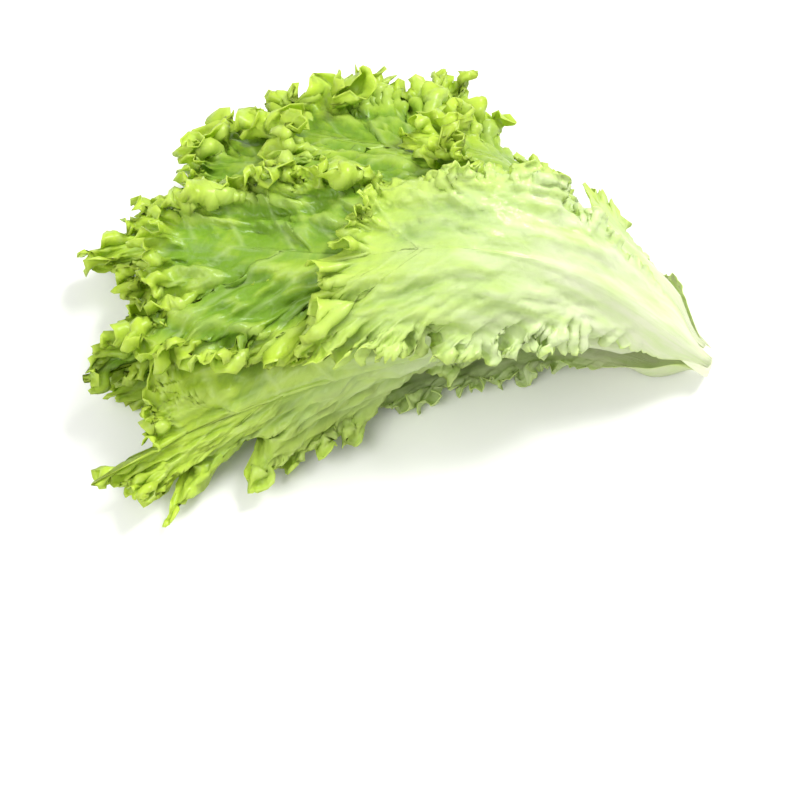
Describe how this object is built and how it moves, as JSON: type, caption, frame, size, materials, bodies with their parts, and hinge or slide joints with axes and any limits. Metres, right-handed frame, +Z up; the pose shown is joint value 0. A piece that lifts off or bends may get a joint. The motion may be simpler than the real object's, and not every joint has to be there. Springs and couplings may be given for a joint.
{
  "type": "green leaf lettuce",
  "caption": "Head of green leaf lettuce, cut and lying on its side: frilled leaves layered round a short pale stem, tips fanned out.",
  "frame": {"origin": "centre of the head's bounding box, on the surface that it lies on", "axes": "+X from the leaf tips towards the cut stem, +Z up from the surface"},
  "size_m": [0.3158, 0.2962, 0.1266],
  "materials": {
    "leaf": "satin",
    "stem": "satin"
  },
  "bodies": {
    "root": {"leaf_01": "leaf", "leaf_02": "leaf", "leaf_03": "leaf", "leaf_04": "leaf", "leaf_05": "leaf", "leaf_06": "leaf", "leaf_07": "leaf", "leaf_08": "leaf", "leaf_09": "leaf", "leaf_10": "leaf", "leaf_11": "leaf", "leaf_12": "leaf", "leaf_13": "leaf", "leaf_14": "leaf", "leaf_15": "leaf", "leaf_16": "leaf", "leaf_17": "leaf", "leaf_18": "leaf", "leaf_19": "leaf", "stem": "stem"}
  },
  "joints": []
}
